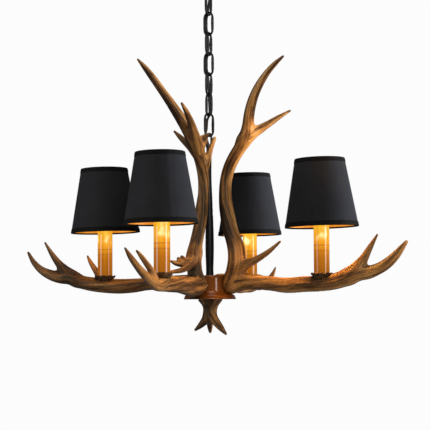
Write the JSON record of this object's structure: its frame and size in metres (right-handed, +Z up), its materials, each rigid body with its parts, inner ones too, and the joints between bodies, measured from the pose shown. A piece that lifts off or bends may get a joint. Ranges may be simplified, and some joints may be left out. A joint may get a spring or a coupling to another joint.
{
  "type": "antler chandelier",
  "caption": "Ceiling chandelier of cast resin antler arms and uprights around a metal hub, hung on a chain, with amber candle sleeves and black tapered fabric shades.",
  "frame": {"origin": "on the ceiling plane, at the centre of the crossbar's upper face between the two ceiling-box screw holes", "axes": "+Z up out of the ceiling fitting, chain and hub axis along Z; +X along the right arm, -Y along the front arm"},
  "size_m": [0.7529, 0.7278, 0.6813],
  "materials": {
    "black_metal": "satin black lacquer",
    "copper_lacquer": "glossy copper-brown lacquer",
    "zinc_steel": "zinc plated",
    "brass": "plain brass",
    "cord_pvc": "black PVC cord",
    "wire_connector": "moulded plastic",
    "antler_resin": "brown antler finish, hand-rubbed ridges",
    "burr_cup": "dark brown cast burr",
    "amber_sleeve": "translucent amber",
    "socket": "moulded phenolic",
    "bulb_glass": "frosted glass",
    "shade_fabric": "charcoal-black fabric, gold lining",
    "shade_wire": "brass plated wire"
  },
  "bodies": {
    "canopy": {"canopy_cover": "black_metal", "canopy_ring": "black_metal", "canopy_loop": "black_metal", "canopy_crossbar": "zinc_steel", "canopy_nipple": "zinc_steel", "canopy_nuts": "zinc_steel", "cord_bushing": "cord_pvc", "canopy_connector": "wire_connector"},
    "link_1": {"chain_link_1": "black_metal"},
    "link_2": {"chain_link_2": "black_metal"},
    "link_3": {"chain_link_3": "black_metal"},
    "link_4": {"chain_link_4": "black_metal"},
    "link_5": {"chain_link_5": "black_metal"},
    "link_6": {"chain_link_6": "black_metal"},
    "link_7": {"chain_link_7": "black_metal"},
    "fixture": {"power_cord": "cord_pvc", "top_loop": "black_metal", "centre_rod": "black_metal", "hub_body": "copper_lacquer", "hub_flange": "copper_lacquer", "hub_spindle": "zinc_steel", "hub_nuts": "zinc_steel", "arm_bolts": "zinc_steel", "wire_connectors": "wire_connector", "finial_antler": "antler_resin", "upright_dowels": "zinc_steel", "arm_wires": "cord_pvc", "cup_nipples": "zinc_steel", "cup_nuts": "brass", "arm_antler_left": "antler_resin", "arm_antler_front": "antler_resin", "arm_antler_back": "antler_resin", "arm_antler_right": "antler_resin", "upright_antler_front": "antler_resin", "upright_antler_right": "antler_resin", "candle_cup_left": "burr_cup", "candle_sleeve_left": "amber_sleeve", "lamp_socket_left": "socket", "candle_cup_front": "burr_cup", "candle_sleeve_front": "amber_sleeve", "lamp_socket_front": "socket", "candle_cup_back": "burr_cup", "candle_sleeve_back": "amber_sleeve", "lamp_socket_back": "socket", "candle_cup_right": "burr_cup", "candle_sleeve_right": "amber_sleeve", "lamp_socket_right": "socket"},
    "bulb_left": {"bulb_left": "bulb_glass"},
    "shade_left": {"shade_left": "shade_fabric", "shade_frame_left": "shade_wire"},
    "bulb_front": {"bulb_front": "bulb_glass"},
    "shade_front": {"shade_front": "shade_fabric", "shade_frame_front": "shade_wire"},
    "bulb_back": {"bulb_back": "bulb_glass"},
    "shade_back": {"shade_back": "shade_fabric", "shade_frame_back": "shade_wire"},
    "bulb_right": {"bulb_right": "bulb_glass"},
    "shade_right": {"shade_right": "shade_fabric", "shade_frame_right": "shade_wire"}
  },
  "joints": [
    {"name": "chain_swing_1", "type": "hinge", "parent": "canopy", "child": "link_1", "pos_m": [0, 0, -0.05115], "axis": [0.9848, -0.1736, 0], "range_deg": [-6, 6], "deforming": ["power_cord"]},
    {"name": "chain_swing_2", "type": "hinge", "parent": "link_1", "child": "link_2", "pos_m": [0, 0, -0.08895], "axis": [0.1736, 0.9848, 0], "range_deg": [-6, 6], "deforming": ["power_cord"]},
    {"name": "chain_swing_3", "type": "hinge", "parent": "link_2", "child": "link_3", "pos_m": [0, 0, -0.12675], "axis": [0.9848, -0.1736, 0], "range_deg": [-6, 6], "deforming": ["power_cord"]},
    {"name": "chain_swing_4", "type": "hinge", "parent": "link_3", "child": "link_4", "pos_m": [0, 0, -0.16455], "axis": [0.1736, 0.9848, 0], "range_deg": [-6, 6], "deforming": ["power_cord"]},
    {"name": "chain_swing_5", "type": "hinge", "parent": "link_4", "child": "link_5", "pos_m": [0, 0, -0.20235], "axis": [0.9848, -0.1736, 0], "range_deg": [-6, 6], "deforming": ["power_cord"]},
    {"name": "chain_swing_6", "type": "hinge", "parent": "link_5", "child": "link_6", "pos_m": [0, 0, -0.24015], "axis": [0.1736, 0.9848, 0], "range_deg": [-6, 6], "deforming": ["power_cord"]},
    {"name": "chain_swing_7", "type": "hinge", "parent": "link_6", "child": "link_7", "pos_m": [0, 0, -0.27795], "axis": [0.809, -0.5878, 0], "range_deg": [-6, 6], "deforming": ["power_cord"]},
    {"name": "chain_swing_8", "type": "hinge", "parent": "link_7", "child": "fixture", "pos_m": [0, 0, -0.31575], "axis": [0.5878, 0.809, 0], "range_deg": [-6, 6], "deforming": ["power_cord"]},
    {"name": "bulb_turn_left", "type": "hinge", "parent": "fixture", "child": "bulb_left", "pos_m": [-0.2145, 0, -0.47], "axis": [0, 0, 1], "range_deg": [0, 720]},
    {"name": "shade_lift_left", "type": "slide", "parent": "bulb_left", "child": "shade_left", "axis": [0, 0, 1], "range_m": [0, 0.11]},
    {"name": "bulb_turn_front", "type": "hinge", "parent": "fixture", "child": "bulb_front", "pos_m": [0, -0.2145, -0.47], "axis": [0, 0, 1], "range_deg": [0, 720]},
    {"name": "shade_lift_front", "type": "slide", "parent": "bulb_front", "child": "shade_front", "axis": [0, 0, 1], "range_m": [0, 0.11]},
    {"name": "bulb_turn_back", "type": "hinge", "parent": "fixture", "child": "bulb_back", "pos_m": [0, 0.2145, -0.47], "axis": [0, 0, 1], "range_deg": [0, 720]},
    {"name": "shade_lift_back", "type": "slide", "parent": "bulb_back", "child": "shade_back", "axis": [0, 0, 1], "range_m": [0, 0.11]},
    {"name": "bulb_turn_right", "type": "hinge", "parent": "fixture", "child": "bulb_right", "pos_m": [0.2145, 0, -0.47], "axis": [0, 0, 1], "range_deg": [0, 720]},
    {"name": "shade_lift_right", "type": "slide", "parent": "bulb_right", "child": "shade_right", "axis": [0, 0, 1], "range_m": [0, 0.11]}
  ]
}
